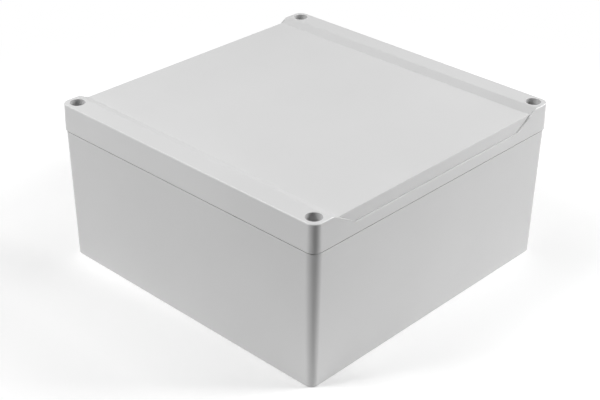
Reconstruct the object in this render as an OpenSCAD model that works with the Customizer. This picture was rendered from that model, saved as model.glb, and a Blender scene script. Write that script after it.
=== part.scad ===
// Sealed plastic enclosure with a screw-down lid
// Millimetres, +Z up, origin at the middle of the underside.
// The lid's two raised bars and the channel between them run along X.

/* [Overall] */
// Width along the channel, at the lid's lower edge
box_w = 160; // [140:1:260]
// Depth across the channel, at the lid's lower edge
box_d = 160; // [140:1:260]
// Height of the closed box
box_h = 80; // [60:1:160]
// Height of the lid, from the parting line to the top of the bars
lid_h = 13.3; // [12.5:0.1:18]
// Radius of the lid's upright corners, at its lower edge
corner_r = 4.4; // [4.2:0.1:6]
// How much rounder the base's upright corners are, at its rim
rim_corner_more = 0.5; // [0:0.1:1]
// How far the lid's lower edge stands out over the base
lid_overhang = 0.25; // [0.1:0.05:0.3]
// Draft of the moulded walls, in degrees
draft = 1; // [0.5:0.1:1]

/* [Edges] */
// Rounding of the lid's top edge
top_edge_r = 0.5; // [0.2:0.1:1.5]
// Rounding of the base's bottom edge
bottom_edge_r = 0.6; // [0.2:0.1:1]
// Rounding of both edges along the parting line
parting_edge_r = 0.15; // [0.1:0.05:0.4]
// Rounding between the inside walls and the floor
inside_edge_r = 1.2; // [0.5:0.1:1.5]

/* [Parting line] */
// Height of the open slit along the parting line
slit_h = 0.5; // [0.1:0.05:0.5]
// Depth of the open slit, from the base's outer face
slit_depth = 1.3; // [0.4:0.1:1.3]

/* [Walls] */
// Thickness of the base's side walls, at the rim
wall = 3.2; // [3:0.1:4]
// Thickness of the base's floor
floor_t = 3; // [2:0.1:5]
// Thickness of the lid's plate, under the bars and the channel alike
plate_t = 3; // [2.5:0.1:3.5]

/* [Lid top] */
// Width of each raised bar's top, from the lid's side
bar_w = 10.6; // [9.5:0.1:14]
// Depth of the channel below the bars
channel_depth = 1.9; // [1:0.1:3]
// Angle of the channel's sides, from level
channel_angle = 22; // [15:1:45]
// Depth of the notch's ledge below the bars, at both ends of the channel
notch_drop = 7.8; // [5:0.1:8]
// Angle of the notch's slanted ends, from level
notch_angle = 30; // [25:1:45]
// How far below the bars the notch's ends leave the channel's sides
notch_start = 0.9; // [0:0.1:1]
// How far the notch's wall is set back from the lid's end
notch_setback = 1.1; // [0.4:0.1:1.2]

/* [Lid screws] */
// Distance of each lid screw from both sides
screw_inset = 5.8; // [5.6:0.1:7]
// Diameter of the counterbore that the head sinks into
counterbore_d = 7.2; // [6.8:0.1:7.4]
// Depth of the counterbore
counterbore_depth = 7.6; // [6:0.1:9]
// Rounding of the counterbore's mouth
counterbore_edge = 0.1; // [0.1:0.05:0.5]
// Diameter of the screw's hole through the lid
lid_hole_d = 4.5; // [4.3:0.1:5]
// Diameter of the screw's head
head_d = 6.4; // [5.6:0.1:6.6]
// Height of the screw's head
head_h = 3; // [2:0.1:3.5]
// Diameter of the screw's thread
thread_d = 4; // [3:0.1:4.2]
// Length of the screw under its head
screw_length = 13; // [10:0.5:16]
// Width of one arm of the cross recess
recess_w = 0.9; // [0.6:0.1:1.2]
// Span of the cross recess
recess_span = 3.6; // [2.5:0.1:4.5]
// Depth of the cross recess
recess_depth = 1.6; // [0.8:0.1:1.8]

/* [Threaded inserts] */
// Outer diameter of the inserts
insert_d = 6; // [5.5:0.1:6.4]
// Length of the inserts
insert_length = 8; // [6:0.5:10]
// Play between an insert and its seat, and between a screw and its insert
insert_play = 0.05; // [0.02:0.01:0.1]
// Depth of the free hole below an insert
screw_relief = 5; // [3:0.5:10]

/* [Mounting] */
// Distance of the mounting holes from the ends
mount_inset_x = 20; // [18:0.5:26]
// Distance of the mounting holes from the sides
mount_inset_y = 7.5; // [7.5:0.1:9]
// Diameter of the mounting holes
mount_hole_d = 4.5; // [3.5:0.1:5]
// Width of the well above each mounting hole
well_w = 8.4; // [7:0.1:8.6]
// Thickness left under each well
well_floor_t = 4; // [3:0.1:6]
// Thickness left between a well and the insert's seat
well_wall = 3.4; // [2.5:0.1:4]

/* [Seal] */
// Width of the base's tongue
tongue_w = 1.4; // [1.2:0.1:1.6]
// Height of the base's tongue
tongue_h = 2.5; // [1.5:0.1:3]
// Flat left between the base's outer edge and the tongue
rim_land = 1.65; // [1.5:0.05:1.9]
// Flat left between a well and the tongue
well_land = 0.5; // [0.4:0.1:1]
// Play between the tongue and each side of the lid's groove
tongue_play = 0.35; // [0.2:0.05:0.5]
// Height of the pressed gasket
gasket_h = 2.2; // [1.5:0.1:2.5]
// Play between the gasket and each side of the lid's groove
gasket_play = 0.05; // [0.02:0.01:0.1]
// Thickness of the lid's skirt inside the groove
skirt_t = 1.5; // [1.2:0.1:2]
// How far the skirt reaches down into the base
skirt_drop = 1.5; // [0.6:0.1:3]
// Play between the skirt and the base's inside wall
skirt_play = 0.2; // [0.1:0.05:0.4]
// Radius of the seal's line where it turns into a corner
seal_turn_r = 6.2; // [6:0.1:9]
// Radius of the seal's line where it rounds a corner column
seal_column_r = 2.5; // [2:0.1:4]

/* [Board standoffs] */
// Distance between the standoffs along X
standoff_pitch_x = 100; // [60:1:110]
// Distance between the standoffs along Y
standoff_pitch_y = 100; // [60:1:110]
// Diameter of the standoffs at the top
standoff_d = 7; // [5:0.1:10]
// Height of the standoffs above the floor
standoff_h = 6; // [3:0.5:12]
// Diameter of the standoffs' pilot holes
pilot_d = 2.6; // [2:0.1:3.2]
// Thickness left under the standoffs' pilot holes
pilot_floor_t = 1.5; // [1:0.1:2]

/* [Hidden] */

$fn = 64;
// Flats in each rounded edge
edge_steps = 5;
// Overlap that makes cuts and joins clean
eps = 0.5;

shell_grey = [0.69, 0.69, 0.69];
gasket_grey = [0.22, 0.22, 0.23];
steel = [0.72, 0.73, 0.74];
brass = [0.80, 0.65, 0.33];

// Heights
base_h = box_h - lid_h;
pocket_z = box_h - plate_t;
tongue_z = base_h + tongue_h;
groove_z = tongue_z + gasket_h;
head_seat_z = box_h - counterbore_depth;

// Outer sizes, as half widths
lid_half = [box_w / 2, box_d / 2];
rim_half = lid_half - [lid_overhang, lid_overhang];
rim_r = corner_r + rim_corner_more;
base_lean = (base_h - slit_h) * tan(draft);
lid_lean = lid_h * tan(draft);
cavity_lean = (base_h - floor_t) * tan(draft);
bar_inner_y = lid_half[1] - bar_w;

// Places of the screws, the mounting holes and the standoffs in one quarter
screw_at = lid_half - [screw_inset, screw_inset];
mount_at = lid_half - [mount_inset_x, mount_inset_y];
standoff_at = [standoff_pitch_x, standoff_pitch_y] / 2;
insert_seat_d = insert_d + 2 * insert_play;
well_end_x = screw_at[0] - insert_seat_d / 2 - well_wall - well_w / 2;

// The seal's line is the middle of the tongue.
// It keeps to the rim, and steps in round the wells.
seal_half = rim_half - [1, 1] * (rim_land + tongue_w / 2);
seal_step = mount_at - [1, 1] * (well_w / 2 + well_land + tongue_w / 2);
tongue_side = tongue_w / 2;
groove_side = tongue_side + tongue_play;
gasket_side = groove_side - gasket_play;
cavity_side = wall - rim_land - tongue_w / 2;
skirt_side = cavity_side + skirt_play;
pocket_side = skirt_side + skirt_t;

// Repeats its children in all four quarters
module four_quarters() {
    for (x = [0, 1], y = [0, 1])
        mirror([x, 0, 0])
            mirror([0, y, 0])
                children();
}

// Rounds a length to the micrometre, so that faces that meet share their points
function fine(length) = round(length * 1000) / 1000;

// Points round one rounded edge of a section, or its bare corner
function rounded_edge(corner, r, turn, start) =
    [for (i = [0 : r > 0 ? edge_steps : 0])
        let (a = start + 90 * i / edge_steps)
        [fine(corner[0] + r * (cos(a) - 1)), fine(corner[1] + r * (sin(a) - turn))]];

// Section of a drafted wall's face, from its foot up to its head
function wall_face(foot, head, h, foot_r, head_r) =
    concat(
        rounded_edge([foot, 0], foot_r, -1, -90),
        rounded_edge([head, h], head_r, 1, 0)
    );

// Block with drafted sides and round upright corners, wider at its head or its foot
module drafted_block(half, r, h, foot_in = 0, head_in = 0, foot_r = 0, head_r = 0) {
    centre = half - [r, r];
    four_quarters()
        translate(centre)
            rotate_extrude(angle = 90)
                polygon(concat([[0, 0]], wall_face(r - foot_in, r - head_in, h, foot_r, head_r), [[0, h]]));
    for (axis = [0, 1])
        rotate([90, 0, 90 * axis])
            linear_extrude(height = 2 * centre[1 - axis], center = true)
                union() {
                    side = wall_face(half[axis] - foot_in, half[axis] - head_in, h, foot_r, head_r);
                    polygon(concat(side, [for (i = [len(side) - 1 : -1 : 0]) [-side[i][0], side[i][1]]]));
                }
}

// Flat rectangle with round corners
module rounded_rect(half, r) {
    square(2 * (half - [r, 0]), center = true);
    square(2 * (half - [0, r]), center = true);
    four_quarters()
        translate(half - [r, r])
            intersection() {
                circle(r);
                square(2 * r);
            }
}

// Flat outline that runs beside the seal's line: outside it, or inside it where grow is negative
module seal_outline(grow) {
    step = seal_step + [grow, grow];
    round_r = seal_column_r - grow;
    rounded_rect([seal_half[0] + grow, step[1]], seal_turn_r + grow);
    rounded_rect([step[0], seal_half[1] + grow], seal_turn_r + grow);
    four_quarters()
        difference() {
            translate(step - [eps, eps])
                square(round_r + eps);
            translate(step + [round_r, round_r])
                circle(round_r);
        }
}

// Endless upright band that follows the seal's line
module seal_band(outer, inner, z, h) {
    translate([0, 0, z])
        linear_extrude(height = h)
            difference() {
                seal_outline(outer);
                seal_outline(-inner);
            }
}

// Round-ended slot above a mounting hole
module well(z, h) {
    translate([mount_at[0], mount_at[1], z])
        cylinder(d = well_w, h = h);
    translate([well_end_x, mount_at[1], z])
        cylinder(d = well_w, h = h);
    translate([mount_at[0], mount_at[1] - well_w / 2, z])
        cube([well_end_x - mount_at[0], well_w, h]);
}

// Hollow of the base, which steps in round the corner columns
module base_cavity() {
    h = base_h - floor_t + eps;
    inside = seal_half - [cavity_side, cavity_side];
    step = seal_step - [cavity_side, cavity_side];
    turn_r = seal_turn_r - cavity_side;
    column_r = seal_column_r + cavity_side;
    column_at = step + [column_r, column_r];
    face = wall_face(-cavity_lean, 0, h, inside_edge_r, 0);
    translate([0, 0, floor_t]) {
        drafted_block([inside[0], step[1]], turn_r, h, cavity_lean, 0, inside_edge_r);
        drafted_block([step[0], inside[1]], turn_r, h, cavity_lean, 0, inside_edge_r);
        four_quarters()
            difference() {
                translate([column_at[0] - 2 * column_r, column_at[1] - 2 * column_r, 0])
                    cube([2 * column_r, 2 * column_r, h]);
                translate(column_at)
                    rotate_extrude()
                        polygon(concat([[0, 0]], [for (p = face) [column_r - p[0], p[1]]], [[0, h]]));
            }
    }
}

// Outside of the base, with the slit along the parting line
module base_block() {
    drafted_block(rim_half, rim_r, base_h - slit_h, base_lean, 0, bottom_edge_r, parting_edge_r);
    translate([0, 0, base_h - slit_h - eps])
        linear_extrude(height = slit_h + eps)
            rounded_rect(rim_half - [slit_depth, slit_depth], rim_r - slit_depth);
}

// Deep lower half of the box
module base() {
    color(shell_grey)
        difference() {
            union() {
                difference() {
                    base_block();
                    base_cavity();
                }
                seal_band(tongue_side, tongue_side, base_h - eps, tongue_h + eps);
                four_quarters()
                    translate([standoff_at[0], standoff_at[1], floor_t - eps])
                        cylinder(
                            d1 = standoff_d + 2 * (standoff_h + eps) * tan(draft),
                            d2 = standoff_d,
                            h = standoff_h + eps
                        );
            }
            four_quarters() {
                well(well_floor_t, base_h);
                translate([mount_at[0], mount_at[1], -eps])
                    cylinder(d = mount_hole_d, h = well_floor_t + 2 * eps);
                translate([screw_at[0], screw_at[1], base_h - insert_length])
                    cylinder(d = insert_seat_d, h = insert_length + eps);
                translate([screw_at[0], screw_at[1], base_h - insert_length - screw_relief])
                    cylinder(d = lid_hole_d, h = screw_relief + eps);
                translate([standoff_at[0], standoff_at[1], pilot_floor_t])
                    cylinder(d = pilot_d, h = floor_t + standoff_h);
            }
        }
}

// Trapezoid across Y that opens upwards, with its sides through the channel's sides at the given drop
module channel_section(depth, angle, drop) {
    meet = bar_inner_y - drop / tan(channel_angle);
    bottom = meet - (depth - drop) / tan(angle);
    top = meet + (drop + eps) / tan(angle);
    polygon([[-bottom, -depth], [bottom, -depth], [top, eps], [-top, eps]]);
}

// The channel's form along X, with its top edges at the given height
module channel_trough(z) {
    translate([0, 0, z])
        rotate([90, 0, 90])
            linear_extrude(height = box_w + 2 * eps, center = true)
                channel_section(channel_depth, channel_angle, 0);
}

// Notch in one end of the lid, wider and deeper than the channel
module end_notch() {
    translate([lid_half[0] - notch_setback, 0, box_h])
        rotate([90, 0, 90])
            linear_extrude(height = notch_setback + eps)
                channel_section(notch_drop, notch_angle, notch_start);
}

// Hollow of the lid's underside, whose ceiling follows the bars and the channel
module lid_pocket() {
    difference() {
        translate([0, 0, base_h - skirt_drop - eps])
            linear_extrude(height = pocket_z - base_h + skirt_drop + eps)
                seal_outline(-pocket_side);
        channel_trough(pocket_z);
    }
}

// Screw-down lid
module lid() {
    color(shell_grey)
        difference() {
            union() {
                translate([0, 0, base_h])
                    drafted_block(lid_half, corner_r, lid_h, 0, lid_lean, parting_edge_r, top_edge_r);
                seal_band(-skirt_side, pocket_side, base_h - skirt_drop, skirt_drop + eps);
            }
            lid_pocket();
            seal_band(groove_side, groove_side, base_h - eps, groove_z - base_h + eps);
            channel_trough(box_h);
            end_notch();
            mirror([1, 0, 0])
                end_notch();
            four_quarters() {
                well(base_h - eps, pocket_z - base_h + eps);
                translate([screw_at[0], screw_at[1], base_h - eps])
                    cylinder(d = lid_hole_d, h = lid_h);
                translate([screw_at[0], screw_at[1], head_seat_z])
                    cylinder(d = counterbore_d, h = counterbore_depth + eps);
                translate([screw_at[0], screw_at[1], box_h - counterbore_edge])
                    cylinder(
                        d1 = counterbore_d,
                        d2 = counterbore_d + 2 * (counterbore_edge + eps),
                        h = counterbore_edge + eps
                    );
            }
        }
}

// Rubber ring between the base's tongue and the lid's groove
module gasket() {
    color(gasket_grey)
        seal_band(gasket_side, gasket_side, tongue_z, gasket_h);
}

// Four lid screws with a cross recess
module lid_screws() {
    color(steel)
        four_quarters()
            translate([screw_at[0], screw_at[1], head_seat_z])
                difference() {
                    union() {
                        cylinder(d = head_d, h = head_h);
                        translate([0, 0, -screw_length])
                            cylinder(d = thread_d, h = screw_length + eps);
                    }
                    translate([0, 0, head_h])
                        for (turn = [0, 90])
                            rotate(turn)
                                cube([recess_span, recess_w, 2 * recess_depth], center = true);
                }
}

// Four brass inserts in the base's corner columns
module threaded_inserts() {
    color(brass)
        four_quarters()
            translate([screw_at[0], screw_at[1], base_h - insert_length])
                difference() {
                    cylinder(d = insert_d, h = insert_length);
                    translate([0, 0, -eps])
                        cylinder(d = thread_d + 2 * insert_play, h = insert_length + 2 * eps);
                }
}

base();
lid();
gasket();
lid_screws();
threaded_inserts();
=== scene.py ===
import math

import bmesh
import bpy
from mathutils import Matrix, Vector


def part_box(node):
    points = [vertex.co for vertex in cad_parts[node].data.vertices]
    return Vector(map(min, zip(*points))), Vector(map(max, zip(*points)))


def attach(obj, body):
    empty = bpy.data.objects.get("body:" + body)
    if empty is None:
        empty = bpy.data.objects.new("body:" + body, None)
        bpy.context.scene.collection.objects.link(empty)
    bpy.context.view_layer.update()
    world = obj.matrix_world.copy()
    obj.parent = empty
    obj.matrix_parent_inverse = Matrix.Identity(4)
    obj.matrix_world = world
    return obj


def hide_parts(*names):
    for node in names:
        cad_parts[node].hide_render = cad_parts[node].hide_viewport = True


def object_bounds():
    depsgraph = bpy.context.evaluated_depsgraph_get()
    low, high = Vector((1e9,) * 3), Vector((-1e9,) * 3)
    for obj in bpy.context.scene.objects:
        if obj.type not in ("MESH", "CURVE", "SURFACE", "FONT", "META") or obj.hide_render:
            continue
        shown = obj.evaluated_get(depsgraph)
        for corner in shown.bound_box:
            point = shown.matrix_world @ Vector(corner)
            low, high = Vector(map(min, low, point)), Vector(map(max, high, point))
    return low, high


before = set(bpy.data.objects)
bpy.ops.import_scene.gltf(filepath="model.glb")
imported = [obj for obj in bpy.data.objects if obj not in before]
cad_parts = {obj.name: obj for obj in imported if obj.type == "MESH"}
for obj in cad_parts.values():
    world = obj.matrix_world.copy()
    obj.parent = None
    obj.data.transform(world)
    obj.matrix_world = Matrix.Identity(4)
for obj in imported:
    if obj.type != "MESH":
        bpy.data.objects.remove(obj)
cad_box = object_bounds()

MM = 0.001


def box_in_mm(node):
    """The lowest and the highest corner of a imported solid, in millimetres."""
    return [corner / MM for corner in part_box(node)]


lid_high = box_in_mm("lid")[1]
screws_low, screws_high = box_in_mm("lid_screws")
inserts_low, inserts_high = box_in_mm("threaded_inserts")

# Lid, in millimetres; the inserts end level with the parting line
LID_HALF = lid_high.x
TOP_Z = lid_high.z
TOP_EDGE_R = 0.5
PARTING_Z = inserts_high.z
LID_DRAFT = math.radians(1.0)
LID_CORNER_R = 4.4
LID_CORNER_AT = LID_HALF - LID_CORNER_R
LID_TOP_CORNER_R = LID_CORNER_R - (TOP_Z - PARTING_Z) * math.tan(LID_DRAFT)
SCREW_HOLE_R = 3.6

# Slit under the lid, and how far in from the lid's sides its walls are looked for, in millimetres
SLIT_H = 0.5
SLIT_REACH = 2.6

# Notches at the ends of the lid's channel: how far in their walls and their ends lie from the lid's sides,
# how long their slanted ends run, how deep they are, and the breaks on their edges, in millimetres
NOTCH_SETBACK = 1.1
NOTCH_INSET = 12.7
NOTCH_END_RUN = 12.0
NOTCH_DROP = 7.8
EDGE_BREAK_R = 0.35
NOTCH_WALL_X = LID_HALF - NOTCH_SETBACK
NOTCH_HALF_Y = LID_HALF - NOTCH_INSET
LEDGE_HALF_Y = NOTCH_HALF_Y - NOTCH_END_RUN
LEDGE_Z = TOP_Z - NOTCH_DROP

# Lid screws and threaded inserts, in millimetres
HEAD_R = 3.2
HEAD_H = 3.0
HEAD_SEAT_Z = screws_high.z - HEAD_H
SHANK_R = 2.0
SCREW_LENGTH = HEAD_SEAT_Z - screws_low.z
SCREW_AT = screws_high.x - HEAD_R
SCREW_PLACES = [(x * SCREW_AT, y * SCREW_AT) for x in (-1, 1) for y in (-1, 1)]
INSERT_R = inserts_high.x - SCREW_AT
INSERT_LENGTH = inserts_high.z - inserts_low.z
INSERT_BOTTOM_Z = inserts_low.z
BORE_R = 2.05


# Modelling

# Points that are closer than this are one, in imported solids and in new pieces, in millimetres
PACKED_MERGE = 0.003
NEW_MERGE = 0.001

# Triangles that turn by less than this, in degrees, are one flat face
FLAT_WITHIN = 0.4

# Faces over this area, in square millimetres, count as flats, and two of them meet in a crease
# where they turn by this angle or more, in degrees
FLAT_AREA = 60.0
FLAT_TURN = 6.0

# How strongly the larger faces decide the shading, from 1 to 100
FLATS_WEIGHT = 90

# Half the width of a thread's ridge at its root, as a share of the pitch, and its steps a turn
THREAD_HALF_SHARE = 0.42
THREAD_STEPS = 20

Z_AXIS = (0.0, 0.0, 1.0)


def joined_skin(node):
    """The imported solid's triangles as one joined skin, with its flat faces whole."""
    bm = bmesh.new()
    bm.from_mesh(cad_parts[node].data)
    bmesh.ops.remove_doubles(bm, verts=bm.verts, dist=PACKED_MERGE * MM)
    bmesh.ops.dissolve_limit(
        bm,
        angle_limit=math.radians(FLAT_WITHIN),
        verts=bm.verts,
        edges=bm.edges,
        use_dissolve_boundaries=False,
    )
    return bm


def edge_turn(edge):
    """How far the skin turns at an edge, in degrees, above zero where it stands out."""
    if len(edge.link_faces) != 2:
        return 0.0
    return math.degrees(edge.calc_face_angle_signed(0.0))


def round_off(bm, edges, radius, segments):
    """Rounds edges, with the radius in millimetres."""
    bmesh.ops.bevel(
        bm,
        geom=edges,
        offset=radius * MM,
        offset_type="OFFSET",
        segments=segments,
        profile=0.5,
        affect="EDGES",
        clamp_overlap=False,
        material=-1,
    )
    bmesh.ops.dissolve_degenerate(bm, dist=NEW_MERGE * MM, edges=bm.edges)


def points_in_section(bm, outline):
    """New points for an outline of (radius, height), in millimetres."""
    return [bm.verts.new((r * MM, 0.0, z * MM)) for r, z in outline]


def lathe(bm, outline, steps):
    """Spins an open outline of (radius, height) points round the Z axis."""
    points = points_in_section(bm, outline)
    lines = [bm.edges.new(pair) for pair in zip(points, points[1:])]
    bmesh.ops.spin(
        bm,
        geom=points + lines,
        axis=Z_AXIS,
        angle=2 * math.pi,
        steps=steps,
        use_merge=True,
    )
    bmesh.ops.remove_doubles(bm, verts=bm.verts, dist=NEW_MERGE * MM)


def rounded_shoulder(inner_r, outer_r, low_z, high_z, steps):
    """Points of a quarter of an ellipse, from its top out to its side."""
    turns = [math.pi / 2 * step / steps for step in range(steps + 1)]
    return [
        (inner_r + (outer_r - inner_r) * math.sin(turn), low_z + (high_z - low_z) * math.cos(turn))
        for turn in turns
    ]


def thread_ridge(bm, root_r, crest_r, bottom_z, pitch, turns):
    """Winds one closed V-shaped ridge of a thread round the Z axis."""
    half = THREAD_HALF_SHARE * pitch
    corners = [(root_r, bottom_z - half), (crest_r, bottom_z), (root_r, bottom_z + half)]
    points = points_in_section(bm, corners)
    section = bm.faces.new(points)
    bmesh.ops.spin(
        bm,
        geom=[section] + list(section.edges) + points,
        axis=Z_AXIS,
        dvec=(0.0, 0.0, pitch / THREAD_STEPS * MM),
        angle=2 * math.pi * turns,
        steps=THREAD_STEPS * turns,
    )


def open_edges(bm):
    """Edges that still have a face on one side only."""
    return [edge for edge in bm.edges if len(edge.link_faces) == 1]


def only(kind, geometry):
    """The points, edges or faces among what an operator gives back."""
    return [part for part in geometry if isinstance(part, kind)]


def next_ring(bm, ring):
    """Extrudes a ring of edges, and gives the new ring and its points."""
    made = bmesh.ops.extrude_edge_only(bm, edges=ring)["geom"]
    return only(bmesh.types.BMEdge, made), only(bmesh.types.BMVert, made)


def at_each_place(bm, places, z):
    """Sets a copy of what is modelled on the Z axis at each place, in millimetres."""
    first = bm.verts[:] + bm.edges[:] + bm.faces[:]
    copies = [bmesh.ops.duplicate(bm, geom=first)["geom"] for _ in places[1:]]
    for (x, y), copy in zip(places, [first] + copies):
        bmesh.ops.translate(bm, verts=only(bmesh.types.BMVert, copy), vec=Vector((x, y, z)) * MM)


def shade_by_angle(bm, limit):
    """Smooth shading, with a crease where the skin turns by more than the limit or two flats meet."""
    for face in bm.faces:
        face.smooth = True
    for edge in bm.edges:
        flats = min([face.calc_area() for face in edge.link_faces]) > FLAT_AREA * MM * MM
        edge.smooth = abs(edge_turn(edge)) < (FLAT_TURN if flats else limit)


def finished_piece(name, bm, material, node):
    """Makes the object of a modelled piece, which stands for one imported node."""
    mesh = bpy.data.meshes.new(name)
    bm.to_mesh(mesh)
    bm.free()
    mesh.materials.append(material)
    piece = bpy.data.objects.new(name, mesh)
    bpy.context.scene.collection.objects.link(piece)
    even = piece.modifiers.new("even_flats", "WEIGHTED_NORMAL")
    even.mode = "FACE_AREA"
    even.weight = FLATS_WEIGHT
    even.keep_sharp = True
    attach(piece, "root")
    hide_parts(node)


# Shader nodes

# Between these limits lies nearly all of a noise
NOISE_SPAN = (0.3, 0.7)

# Places of the two colours and of the result among a Mix node's sockets
MIX_COLOURS = (6, 7)
MIX_RESULT = 2


def emptied_tree(owner):
    """The node tree of a material or a world, with nothing in it."""
    owner.use_nodes = True
    owner.node_tree.nodes.clear()
    return owner.node_tree


def feed(tree, socket, value):
    """Links another node's socket to this one, or sets this one to a fixed value."""
    if isinstance(value, bpy.types.NodeSocket):
        tree.links.new(value, socket)
    else:
        socket.default_value = value


def add(tree, kind, settings=None, **inputs):
    """Adds a node, and feeds its inputs by name."""
    node = tree.nodes.new(kind)
    for name, value in (settings or {}).items():
        setattr(node, name, value)
    for name, value in inputs.items():
        feed(tree, node.inputs[name.replace("_", " ")], value)
    return node


def worked_out(tree, kind, operation, values):
    """One step of arithmetic, on sockets and fixed values in their order."""
    node = add(tree, kind, {"operation": operation})
    for socket, value in zip(node.inputs, values):
        feed(tree, socket, value)
    return node.outputs


def number(tree, operation, *values):
    """Arithmetic on numbers."""
    return worked_out(tree, "ShaderNodeMath", operation, values)["Value"]


def vector(tree, operation, *values):
    """Arithmetic on vectors that gives a vector."""
    return worked_out(tree, "ShaderNodeVectorMath", operation, values)["Vector"]


def measure(tree, operation, *values):
    """Arithmetic on vectors that gives a number."""
    return worked_out(tree, "ShaderNodeVectorMath", operation, values)["Value"]


def to_range(tree, value, low, high, begin=0.0, end=1.0, ease="LINEAR"):
    """Takes a value that runs from begin to end to a range, and holds it inside that range."""
    node = add(
        tree,
        "ShaderNodeMapRange",
        {"interpolation_type": ease},
        Value=value,
        From_Min=begin,
        From_Max=end,
        To_Min=low,
        To_Max=high,
    )
    return node.outputs["Result"]


def noise(tree, where, per_metre, detail):
    """Noise about one half, with its scale in features per metre."""
    node = add(tree, "ShaderNodeTexNoise", Vector=where, Scale=per_metre, Detail=detail)
    return node.outputs["Fac"]


def stretched(tree, value):
    """A noise spread over the whole of 0 to 1."""
    return to_range(tree, value, 0.0, 1.0, *NOISE_SPAN)


def mixed(tree, mask, *colours):
    """A colour between two, by a mask. Each is a socket, or its red, green and blue."""
    node = add(tree, "ShaderNodeMix", {"data_type": "RGBA"}, Factor=mask)
    for place, colour in zip(MIX_COLOURS, colours):
        linked = isinstance(colour, bpy.types.NodeSocket)
        feed(tree, node.inputs[place], colour if linked else (*colour, 1.0))
    return node.outputs[MIX_RESULT]


def all_of(tree, first, *others):
    """The mask of what lies in every one of the masks."""
    for other in others:
        first = number(tree, "MULTIPLY", first, other)
    return first


def any_of(tree, first, *others):
    """The mask of what lies in at least one of the masks."""
    for other in others:
        first = number(tree, "MAXIMUM", first, other)
    return first


def above(tree, value, level):
    """The mask of where a value lies over a level in millimetres."""
    return number(tree, "GREATER_THAN", value, level * MM)


def below(tree, value, level):
    """The mask of where a value lies under a level in millimetres."""
    return number(tree, "LESS_THAN", value, level * MM)


def between(tree, value, low, high):
    """The mask of where a value lies between two levels in millimetres."""
    return number(tree, "COMPARE", value, (low + high) / 2 * MM, (high - low) / 2 * MM)


def place_group(name, *labels):
    """An empty node group that reads a place and gives the labelled values."""
    group = bpy.data.node_groups.new(name, "ShaderNodeTree")
    group.interface.new_socket("Vector", in_out="INPUT", socket_type="NodeSocketVector")
    for label in labels:
        group.interface.new_socket(label, in_out="OUTPUT", socket_type="NodeSocketFloat")
    where = group.nodes.new("NodeGroupInput").outputs["Vector"]
    return group, where, group.nodes.new("NodeGroupOutput").inputs


# Textures

def moulded_grain_group():
    """The fine spark-eroded grain of a mould, with the slow unevenness of moulded walls."""
    group, where, out = place_group("moulded_grain", "Height", "Tone", "Shine")
    fine = noise(group, where, per_metre=3200.0, detail=3.0)
    coarse = noise(group, where, per_metre=700.0, detail=2.0)
    slow = noise(group, where, per_metre=22.0, detail=2.0)
    coarse_in_relief = 0.3
    slow_in_shine = 0.5
    shine = number(group, "MULTIPLY_ADD", slow, slow_in_shine, coarse)
    group.links.new(number(group, "MULTIPLY_ADD", coarse, coarse_in_relief, fine), out["Height"])
    group.links.new(stretched(group, slow), out["Tone"])
    group.links.new(stretched(group, shine), out["Shine"])
    return group


def turned_marks_group():
    """The close rings that a lathe tool leaves, with faint stains."""
    group, where, out = place_group("turned_marks", "Height", "Tone", "Shine")
    across_to_along = 0.05
    drawn_out = add(group, "ShaderNodeMapping", Vector=where, Scale=(across_to_along, across_to_along, 1.0))
    rings = noise(group, drawn_out.outputs["Vector"], per_metre=9000.0, detail=2.0)
    stains = noise(group, where, per_metre=400.0, detail=3.0)
    group.links.new(rings, out["Height"])
    group.links.new(stretched(group, stains), out["Tone"])
    group.links.new(stretched(group, rings), out["Shine"])
    return group


# Places on the lid

# How far a mask reaches past the faces that it covers or keeps off those that it leaves out,
# and the width of the strips of painted shade along the notches' inner corners, in millimetres
MARGIN = 0.03
SMALL_MARGIN = 0.01
NOTCH_CORNER_W = 0.3


def in_plan(tree, quarter, at):
    """A place seen from above, measured from a point that lies as far along X as along Y."""
    flat = vector(tree, "MULTIPLY", quarter, (1.0, 1.0, 0.0))
    return vector(tree, "SUBTRACT", flat, (at * MM, at * MM, 0.0))


def in_screw_hole(tree, quarter, z):
    """The walls of the screw holes, from the seats of the heads up, where shade is painted."""
    across = measure(tree, "LENGTH", in_plan(tree, quarter, SCREW_AT))
    in_bore = below(tree, across, SCREW_HOLE_R + MARGIN)
    return all_of(tree, in_bore, above(tree, z, HEAD_SEAT_Z - MARGIN))


def in_slit(tree, x, y, z):
    """The walls of the slit that runs round the box under the lid, where shade is painted."""
    far_out = above(tree, any_of(tree, x, y), LID_HALF - SLIT_REACH)
    at_slit = between(tree, z, PARTING_Z - SLIT_H - SMALL_MARGIN, PARTING_Z + SMALL_MARGIN)
    return all_of(tree, far_out, at_slit)


def in_notch_corner(tree, x, y, z):
    """The strip of each notch's ledge and ends that lies along the notch's wall, where shade is painted."""
    strip_from = NOTCH_WALL_X + SMALL_MARGIN
    by_wall = between(tree, x, strip_from, strip_from + NOTCH_CORNER_W)
    in_notch = below(tree, y, NOTCH_HALF_Y)
    return all_of(tree, by_wall, in_notch, above(tree, z, LEDGE_Z - MARGIN))


def on_top_rim(tree, quarter, z):
    """The rounded rim of the lid's top."""
    past_corner = vector(tree, "MAXIMUM", in_plan(tree, quarter, LID_CORNER_AT), (0.0, 0.0, 0.0))
    on_rim = above(tree, measure(tree, "LENGTH", past_corner), LID_TOP_CORNER_R - TOP_EDGE_R)
    return all_of(tree, on_rim, above(tree, z, TOP_Z - TOP_EDGE_R))


def on_ledge_rim(tree, x, y, z):
    """The broken outer edge of each notch's ledge."""
    past_wall = above(tree, x, NOTCH_WALL_X + EDGE_BREAK_R)
    on_ledge = below(tree, y, LEDGE_HALF_Y)
    at_break = between(tree, z, LEDGE_Z - EDGE_BREAK_R - MARGIN, LEDGE_Z + MARGIN)
    return all_of(tree, past_wall, on_ledge, at_break)


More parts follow.
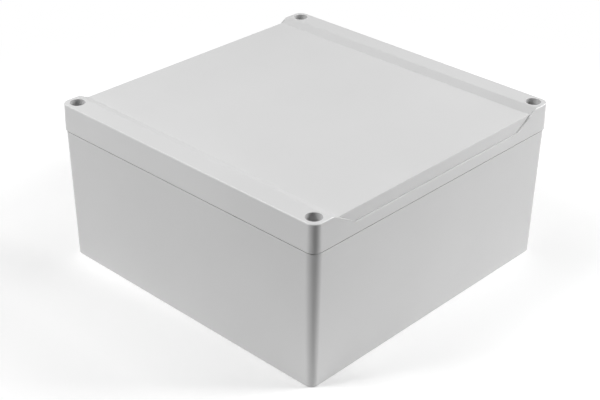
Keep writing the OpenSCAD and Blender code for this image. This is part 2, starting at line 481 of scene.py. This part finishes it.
def lid_places_group():
    """Reads a place, and masks the hollows in and under the lid, where shade is painted, and the lid's
    polished edges.
    """
    group, where, out = place_group("lid_places", "Hollow", "Edge")
    quarter = vector(group, "ABSOLUTE", where)
    x, y, z = add(group, "ShaderNodeSeparateXYZ", Vector=quarter).outputs
    hollows = [
        in_screw_hole(group, quarter, z),
        in_slit(group, x, y, z),
        in_notch_corner(group, x, y, z),
    ]
    edges = [on_top_rim(group, quarter, z), on_ledge_rim(group, x, y, z)]
    group.links.new(any_of(group, *hollows), out["Hollow"])
    group.links.new(any_of(group, *edges), out["Edge"])
    return group


# Finishes

moulded_grain = moulded_grain_group()
turned_marks = turned_marks_group()
lid_places = lid_places_group()


def finish(name, texture, dark, light, smooth, rough, bump, depth, painted_shade_tint=None, polish=0.0, **fixed):
    """One material: two tints, a range of roughness, a relief and the shader's fixed values.

    The depth of the relief is in millimetres. Where a painted-shade tint is given, the hollows in and
    under the lid take it as painted shade, and the lid's edges take the polish.
    """
    material = bpy.data.materials.new(name)
    tree = emptied_tree(material)
    where = add(tree, "ShaderNodeTexCoord").outputs["Object"]
    effect = add(tree, "ShaderNodeGroup", {"node_tree": texture}, Vector=where).outputs
    colour = mixed(tree, effect["Tone"], dark, light)
    if painted_shade_tint:
        masks = add(tree, "ShaderNodeGroup", {"node_tree": lid_places}, Vector=where).outputs
        # Painted shade: the darker tint stands in for the shade in the screw holes, the slit and the
        # notches' inner corners
        colour = mixed(tree, masks["Hollow"], colour, painted_shade_tint)
        if polish:
            fixed["Coat_Weight"] = number(tree, "MULTIPLY", masks["Edge"], polish)
    relief = add(
        tree,
        "ShaderNodeBump",
        Strength=bump,
        Distance=depth * MM,
        Height=effect["Height"],
    )
    shader = add(
        tree,
        "ShaderNodeBsdfPrincipled",
        Base_Color=colour,
        Roughness=to_range(tree, effect["Shine"], smooth, rough),
        Normal=relief.outputs["Normal"],
        **fixed,
    )
    add(tree, "ShaderNodeOutputMaterial", {"is_active_output": True}, Surface=shader.outputs["BSDF"])
    return material


lid_plastic = finish(
    "lid_plastic",
    moulded_grain,
    dark=(0.720, 0.720, 0.720),
    light=(0.740, 0.740, 0.740),
    smooth=0.62,
    rough=0.70,
    bump=0.8,
    depth=0.05,
    # Painted shade in the screw holes, the slit under the lid and the notches' inner corners
    painted_shade_tint=(0.57, 0.57, 0.57),
    polish=0.9,
    Coat_IOR=1.7,
    Coat_Roughness=0.3,
    IOR=1.48,
    Specular_IOR_Level=0.05,
)
base_plastic = finish(
    "base_plastic",
    moulded_grain,
    dark=(0.640, 0.640, 0.640),
    light=(0.660, 0.660, 0.660),
    smooth=0.52,
    rough=0.60,
    bump=0.8,
    depth=0.05,
    # Painted shade on the walls of the slit under the lid
    painted_shade_tint=(0.36, 0.36, 0.36),
    IOR=1.48,
    Specular_IOR_Level=0.9,
)
seal_rubber = finish(
    "seal_rubber",
    moulded_grain,
    dark=(0.030, 0.030, 0.031),
    light=(0.045, 0.045, 0.047),
    smooth=0.62,
    rough=0.75,
    bump=0.2,
    depth=0.05,
)
screw_steel = finish(
    "screw_steel",
    turned_marks,
    dark=(0.52, 0.52, 0.53),
    light=(0.64, 0.64, 0.65),
    smooth=0.24,
    rough=0.38,
    bump=0.15,
    depth=0.02,
    Metallic=1.0,
)
insert_brass = finish(
    "insert_brass",
    turned_marks,
    dark=(0.62, 0.43, 0.16),
    light=(0.76, 0.56, 0.25),
    smooth=0.25,
    rough=0.4,
    bump=0.15,
    depth=0.02,
    Metallic=1.0,
)


# Base and lid

# A crease of the shells turns by more than this, in degrees
SHELL_CREASE = 32

# The edges of the notches that are broken turn and measure more than this, in degrees and millimetres,
# and lie inside the notch, give or take the slack in millimetres
NOTCH_EDGE_TURN = 40
NOTCH_EDGE_LENGTH = 2.0
NOTCH_SLACK = 0.05
EDGE_BREAK_STEPS = 2


def notch_edges(bm):
    """The standing edges of the lid's channel ends and notches."""
    chosen = []
    for edge in bm.edges:
        ends = [vert.co / MM for vert in edge.verts]
        heights = [end.z for end in ends]
        outside = min(abs(end.x) for end in ends) > NOTCH_WALL_X - NOTCH_SLACK
        above_ledge = min(heights) > LEDGE_Z - NOTCH_SLACK
        under_top = max(heights) < TOP_Z + NOTCH_SLACK
        long_enough = edge.calc_length() > NOTCH_EDGE_LENGTH * MM
        stands_out = edge_turn(edge) > NOTCH_EDGE_TURN
        if outside and above_ledge and under_top and long_enough and stands_out:
            chosen.append(edge)
    return chosen


def lid_shell():
    """The lid's skin, with the edges of its notches broken."""
    skin = joined_skin("lid")
    round_off(skin, notch_edges(skin), EDGE_BREAK_R, EDGE_BREAK_STEPS)
    shade_by_angle(skin, SHELL_CREASE)
    finished_piece("lid_shell", skin, lid_plastic, "lid")


def base_shell():
    """The base's skin."""
    skin = joined_skin("base")
    shade_by_angle(skin, SHELL_CREASE)
    finished_piece("base_shell", skin, base_plastic, "base")


# Sealing ring, in millimetres and degrees

SEAL_EDGE_R = 0.5
SEAL_EDGE_STEPS = 3
SEAL_EDGE_TURN = 60
SEAL_CREASE = 40


def sealing_ring():
    """The seal's skin, with its long edges rounded."""
    skin = joined_skin("gasket")
    edges = [edge for edge in skin.edges if edge_turn(edge) > SEAL_EDGE_TURN]
    round_off(skin, edges, SEAL_EDGE_R, SEAL_EDGE_STEPS)
    shade_by_angle(skin, SEAL_CREASE)
    finished_piece("sealing_ring", skin, seal_rubber, "gasket")


# Lid screws, in millimetres and degrees

RECESS_SPAN = 3.6
RECESS_W = 0.9
RECESS_DEPTH = 1.6
RECESS_TAPER = 0.6
HEAD_TOP_R = 2.45
HEAD_ROUNDING = 0.62
HEAD_ROUNDING_STEPS = 3
HEAD_UNDER_BREAK = 0.12
NECK_LENGTH = 1.2
NECK_TAPER = 0.4
TIP_R = 1.0
TIP_LENGTH = 0.7
LATHE_STEPS = 48
METAL_CREASE = 35
THREAD_PITCH = 0.7
THREAD_ROOT_R = 1.58
THREAD_SUNK = 0.05
THREAD_PLAY = 0.02
SCREW_THREAD_FROM = 0.9
SCREW_THREAD_TURNS = 15


def beside_cross(face):
    """Whether a face of the recess's grid lies in a corner, beside both arms of the cross."""
    middle = face.calc_center_median()
    return min(abs(middle.x), abs(middle.y)) > RECESS_W / 2 * MM


def cross_recess(bm):
    """The cross-shaped recess, tapered towards its floor; its mouth is left open to the head."""
    bmesh.ops.create_grid(bm, x_segments=3, y_segments=3, size=RECESS_SPAN / 2 * MM)
    for vert in bm.verts:
        for axis in (0, 1):
            if abs(vert.co[axis]) < RECESS_SPAN / 4 * MM:
                vert.co[axis] = math.copysign(RECESS_W / 2 * MM, vert.co[axis])
    corners = [face for face in bm.faces if beside_cross(face)]
    bmesh.ops.delete(bm, geom=corners, context="FACES")
    floor = bm.verts[:]
    rim = next_ring(bm, open_edges(bm))[1]
    bmesh.ops.translate(bm, verts=rim, vec=(0, 0, HEAD_H * MM))
    bmesh.ops.scale(bm, verts=floor, vec=(RECESS_TAPER, RECESS_TAPER, 1.0))
    bmesh.ops.translate(bm, verts=floor, vec=(0, 0, (HEAD_H - RECESS_DEPTH) * MM))


def lid_screw_set():
    """The four screws, each modelled with the seat of its head at height 0."""
    bm = bmesh.new()
    cross_recess(bm)
    outline = [
        *rounded_shoulder(HEAD_TOP_R, HEAD_R, HEAD_H - HEAD_ROUNDING, HEAD_H, HEAD_ROUNDING_STEPS),
        (HEAD_R, HEAD_UNDER_BREAK),
        (HEAD_R - HEAD_UNDER_BREAK, 0.0),
        (SHANK_R, 0.0),
        (SHANK_R, -NECK_LENGTH),
        (THREAD_ROOT_R, -NECK_LENGTH - NECK_TAPER),
        (THREAD_ROOT_R, TIP_LENGTH - SCREW_LENGTH),
        (TIP_R, -SCREW_LENGTH),
        (0.0, -SCREW_LENGTH),
    ]
    lathe(bm, outline, LATHE_STEPS)
    bmesh.ops.bridge_loops(bm, edges=open_edges(bm))
    thread_ridge(
        bm,
        THREAD_ROOT_R - THREAD_SUNK,
        SHANK_R - THREAD_PLAY,
        SCREW_THREAD_FROM - SCREW_LENGTH,
        THREAD_PITCH,
        SCREW_THREAD_TURNS,
    )
    bmesh.ops.recalc_face_normals(bm, faces=bm.faces)
    at_each_place(bm, SCREW_PLACES, HEAD_SEAT_Z)
    shade_by_angle(bm, METAL_CREASE)
    finished_piece("lid_screw_set", bm, screw_steel, "lid_screws")


# Threaded inserts, in millimetres

# Lower and upper knurled band, from and to a height above the insert's bottom
LOWER_KNURL = (0.5, 3.2)
UPPER_KNURL = (4.8, 7.4)
KNURL_TEETH = 30
KNURL_DEPTH = 0.2
KNURL_TWIST = math.radians(14)
KNURL_STEPS = 4
KNURL_RUNOUT = 0.15
TOP_RUNOUT = 0.1
KNURL_R = INSERT_R - 0.02
LEAD_R = INSERT_R - 0.4
COLLAR_R = INSERT_R - 0.2
GROOVE_R = INSERT_R - 0.3
TOP_R = INSERT_R - 0.25
BORE_BREAK = 0.3
INSERT_CREST_R = 1.72
INSERT_THREAD_SUNK = 0.02
INSERT_THREAD_FROM = 0.95
INSERT_THREAD_TURNS = 9


def knurl_rings(bottom, top, turn):
    """The rings of one knurled band, which twists on its way up."""
    shares = [step / KNURL_STEPS for step in range(KNURL_STEPS + 1)]
    return [
        (bottom + (top - bottom) * share, KNURL_R, KNURL_DEPTH, turn * share * KNURL_TWIST)
        for share in shares
    ]


def insert_rings():
    """Height, radius, depth of the knurl and twist, ring by ring up the outside and down the bore."""
    return [
        (0.0, LEAD_R, 0.0, 0.0),
        (LOWER_KNURL[0] - KNURL_RUNOUT, COLLAR_R, 0.0, 0.0),
        *knurl_rings(*LOWER_KNURL, 1),
        (LOWER_KNURL[1] + KNURL_RUNOUT, GROOVE_R, 0.0, KNURL_TWIST),
        (UPPER_KNURL[0] - KNURL_RUNOUT, GROOVE_R, 0.0, 0.0),
        *knurl_rings(*UPPER_KNURL, -1),
        (UPPER_KNURL[1] + TOP_RUNOUT, COLLAR_R, 0.0, -KNURL_TWIST),
        (INSERT_LENGTH, TOP_R, 0.0, -KNURL_TWIST),
        (INSERT_LENGTH, BORE_R + BORE_BREAK, 0.0, 0.0),
        (INSERT_LENGTH - BORE_BREAK, BORE_R, 0.0, 0.0),
        (BORE_BREAK, BORE_R, 0.0, 0.0),
        (0.0, BORE_R + BORE_BREAK, 0.0, 0.0),
    ]


def set_ring(points, z, radius, depth, twist):
    """Puts the points of one ring in place, with every other one cut in."""
    ordered = sorted(points, key=lambda vert: vert.index)
    for i, vert in enumerate(ordered):
        angle = 2 * math.pi * i / len(ordered) + twist
        r = (radius - depth * (i % 2)) * MM
        vert.co = (r * math.cos(angle), r * math.sin(angle), z * MM)


def brass_insert_set():
    """The four inserts, each modelled with its bottom at height 0."""
    bm = bmesh.new()
    bmesh.ops.create_circle(bm, segments=2 * KNURL_TEETH, radius=INSERT_R * MM)
    ring = bm.edges[:]
    points = bm.verts[:]
    first, *others = insert_rings()
    bm.verts.index_update()
    set_ring(points, *first)
    for shape in others:
        ring, points = next_ring(bm, ring)
        bm.verts.index_update()
        set_ring(points, *shape)
    bmesh.ops.bridge_loops(bm, edges=open_edges(bm))
    thread_ridge(
        bm,
        BORE_R + INSERT_THREAD_SUNK,
        INSERT_CREST_R,
        INSERT_THREAD_FROM,
        THREAD_PITCH,
        INSERT_THREAD_TURNS,
    )
    bmesh.ops.recalc_face_normals(bm, faces=bm.faces)
    at_each_place(bm, SCREW_PLACES, INSERT_BOTTOM_Z)
    shade_by_angle(bm, METAL_CREASE)
    finished_piece("brass_insert_set", bm, insert_brass, "threaded_inserts")


lid_shell()
base_shell()
sealing_ring()
lid_screw_set()
brass_insert_set()


# Camera, in metres, with the sensor in millimetres

CAMERA_PLACE = (0.3767, -0.4031, 0.3408)
CAMERA_AZIMUTH = math.radians(43.315)
CAMERA_ELEVATION = math.radians(29.548)
CAMERA_ROLL = math.radians(0.611)
SENSOR_W = 36.0
FOCAL_PX = 1321.325
FRAME_W = 600
NEAREST_SEEN = 0.01


def photo_camera():
    """The camera at the photograph's viewing angle."""
    lens = bpy.data.cameras.new("camera")
    lens.sensor_width = SENSOR_W
    lens.sensor_fit = "HORIZONTAL"
    lens.lens = SENSOR_W * FOCAL_PX / FRAME_W
    lens.clip_start = NEAREST_SEEN
    camera = bpy.data.objects.new("camera", lens)
    camera.matrix_world = (
        Matrix.Translation(CAMERA_PLACE)
        @ Matrix.Rotation(CAMERA_AZIMUTH, 4, "Z")
        @ Matrix.Rotation(math.pi / 2 - CAMERA_ELEVATION, 4, "X")
        @ Matrix.Rotation(CAMERA_ROLL, 4, "Z")
    )
    bpy.context.scene.collection.objects.link(camera)
    bpy.context.scene.camera = camera


# Lights, in metres

BOX_MIDDLE = (cad_box[0] + cad_box[1]) / 2
SOFTBOX_W = 0.4
SOFTBOX_H = 0.6


def softbox(name, place, watts):
    """A rectangular soft light that faces the middle of the box."""
    lamp = bpy.data.lights.new(name, "AREA")
    lamp.shape = "RECTANGLE"
    lamp.size = SOFTBOX_W
    lamp.size_y = SOFTBOX_H
    lamp.energy = watts
    light = bpy.data.objects.new(name, lamp)
    light.location = place
    light.rotation_euler = (BOX_MIDDLE - Vector(place)).to_track_quat("-Z", "Y").to_euler()
    bpy.context.scene.collection.objects.link(light)


# Floor and white background, in metres

FLOOR_HALF = 3.0
FLOOR_ALBEDO = 0.8

# The floor throws light back up to the near radius from the middle of the box, and none from the far one on
FLOOR_NEAR_R = 0.16
FLOOR_FAR_R = 0.32

# The floor's glow, lowered as a painted shadow by the box's walls and on its shaded side: the glow by the
# walls and away from them, each on the open and on the shaded side, with the way to the shaded side, the
# stretch along it where the glow changes, and the reach of the walls
PAINTED_SHADOW_GLOW_AT_WALLS = (0.31, 0.19)
GLOW_AWAY = (0.406, 0.34)
SHADED_SIDE = (0.2, -0.98, 0.0)
SHADED_FROM = 0.061
SHADED_TO = 0.087
PAINTED_SHADOW_REACH = 0.044
FOOT_HALF = cad_box[1].x


def seen_directly(tree):
    """1 for what the camera sees straight, in a reflection or through glass, and else 0."""
    path = add(tree, "ShaderNodeLightPath")
    total = path.outputs["Is Camera Ray"]
    for label in ("Is Glossy Ray", "Is Transmission Ray"):
        total = number(tree, "ADD", path.outputs[label], total)
    return total


def glow_with_painted_shadow(tree, where):
    """The glow of the floor near the box, lower close to its walls and on its shaded side: a painted shadow
    over the floor's real one.
    """
    along = measure(tree, "DOT_PRODUCT", where, SHADED_SIDE)
    at_walls, away = [
        to_range(tree, along, open_side, shaded_side, SHADED_FROM, SHADED_TO, "SMOOTHSTEP")
        for open_side, shaded_side in (PAINTED_SHADOW_GLOW_AT_WALLS, GLOW_AWAY)
    ]
    beyond = vector(tree, "SUBTRACT", vector(tree, "ABSOLUTE", where), (FOOT_HALF, FOOT_HALF, 0.0))
    gap = measure(tree, "LENGTH", vector(tree, "MAXIMUM", beyond, (0.0, 0.0, 0.0)))
    return to_range(tree, gap, at_walls, away, end=PAINTED_SHADOW_REACH)


def white_floor():
    """Matt white round the box, which gives way to the plain white of the background; its glow carries a
    painted shadow by the box.
    """
    material = bpy.data.materials.new("white_floor")
    tree = emptied_tree(material)
    where = add(tree, "ShaderNodeTexCoord").outputs["Object"]
    reach = measure(tree, "LENGTH", where)
    near = to_range(tree, reach, 1.0, 0.0, FLOOR_NEAR_R, FLOOR_FAR_R, "SMOOTHSTEP")
    white = add(tree, "ShaderNodeBsdfDiffuse", Color=to_range(tree, near, 0.0, FLOOR_ALBEDO))
    # Painted shadow: what the camera sees of the floor is darker near the box and on its shaded side
    seen_level = to_range(tree, near, 1.0, glow_with_painted_shadow(tree, where))
    level = number(tree, "MULTIPLY", seen_directly(tree), seen_level)
    glow = add(tree, "ShaderNodeEmission", Strength=level)
    both = tree.nodes.new("ShaderNodeAddShader")
    tree.links.new(white.outputs["BSDF"], both.inputs[0])
    tree.links.new(glow.outputs["Emission"], both.inputs[1])
    add(tree, "ShaderNodeOutputMaterial", Surface=both.outputs["Shader"])
    return material


def studio_floor():
    """The flat floor that the box stands on."""
    bm = bmesh.new()
    bmesh.ops.create_grid(bm, x_segments=1, y_segments=1, size=FLOOR_HALF)
    mesh = bpy.data.meshes.new("studio_floor")
    bm.to_mesh(mesh)
    bm.free()
    mesh.materials.append(white_floor())
    floor = bpy.data.objects.new("studio_floor", mesh)
    bpy.context.scene.collection.objects.link(floor)


def studio_world():
    """White where it is seen, straight or in a reflection. It gives no light to matt surfaces."""
    world = bpy.data.worlds.new("studio")
    bpy.context.scene.world = world
    tree = emptied_tree(world)
    level = to_range(tree, seen_directly(tree), 0.0, 1.0)
    air = add(tree, "ShaderNodeBackground", Color=(1.0, 1.0, 1.0, 1.0), Strength=level)
    add(tree, "ShaderNodeOutputWorld", Surface=air.outputs["Background"])


photo_camera()
softbox("left_softbox", place=(-0.390, -0.602, 0.663), watts=7.60)
softbox("right_softbox", place=(0.572, 0.614, 0.486), watts=9.10)
studio_floor()
studio_world()
bpy.context.scene.view_settings.view_transform = "Standard"
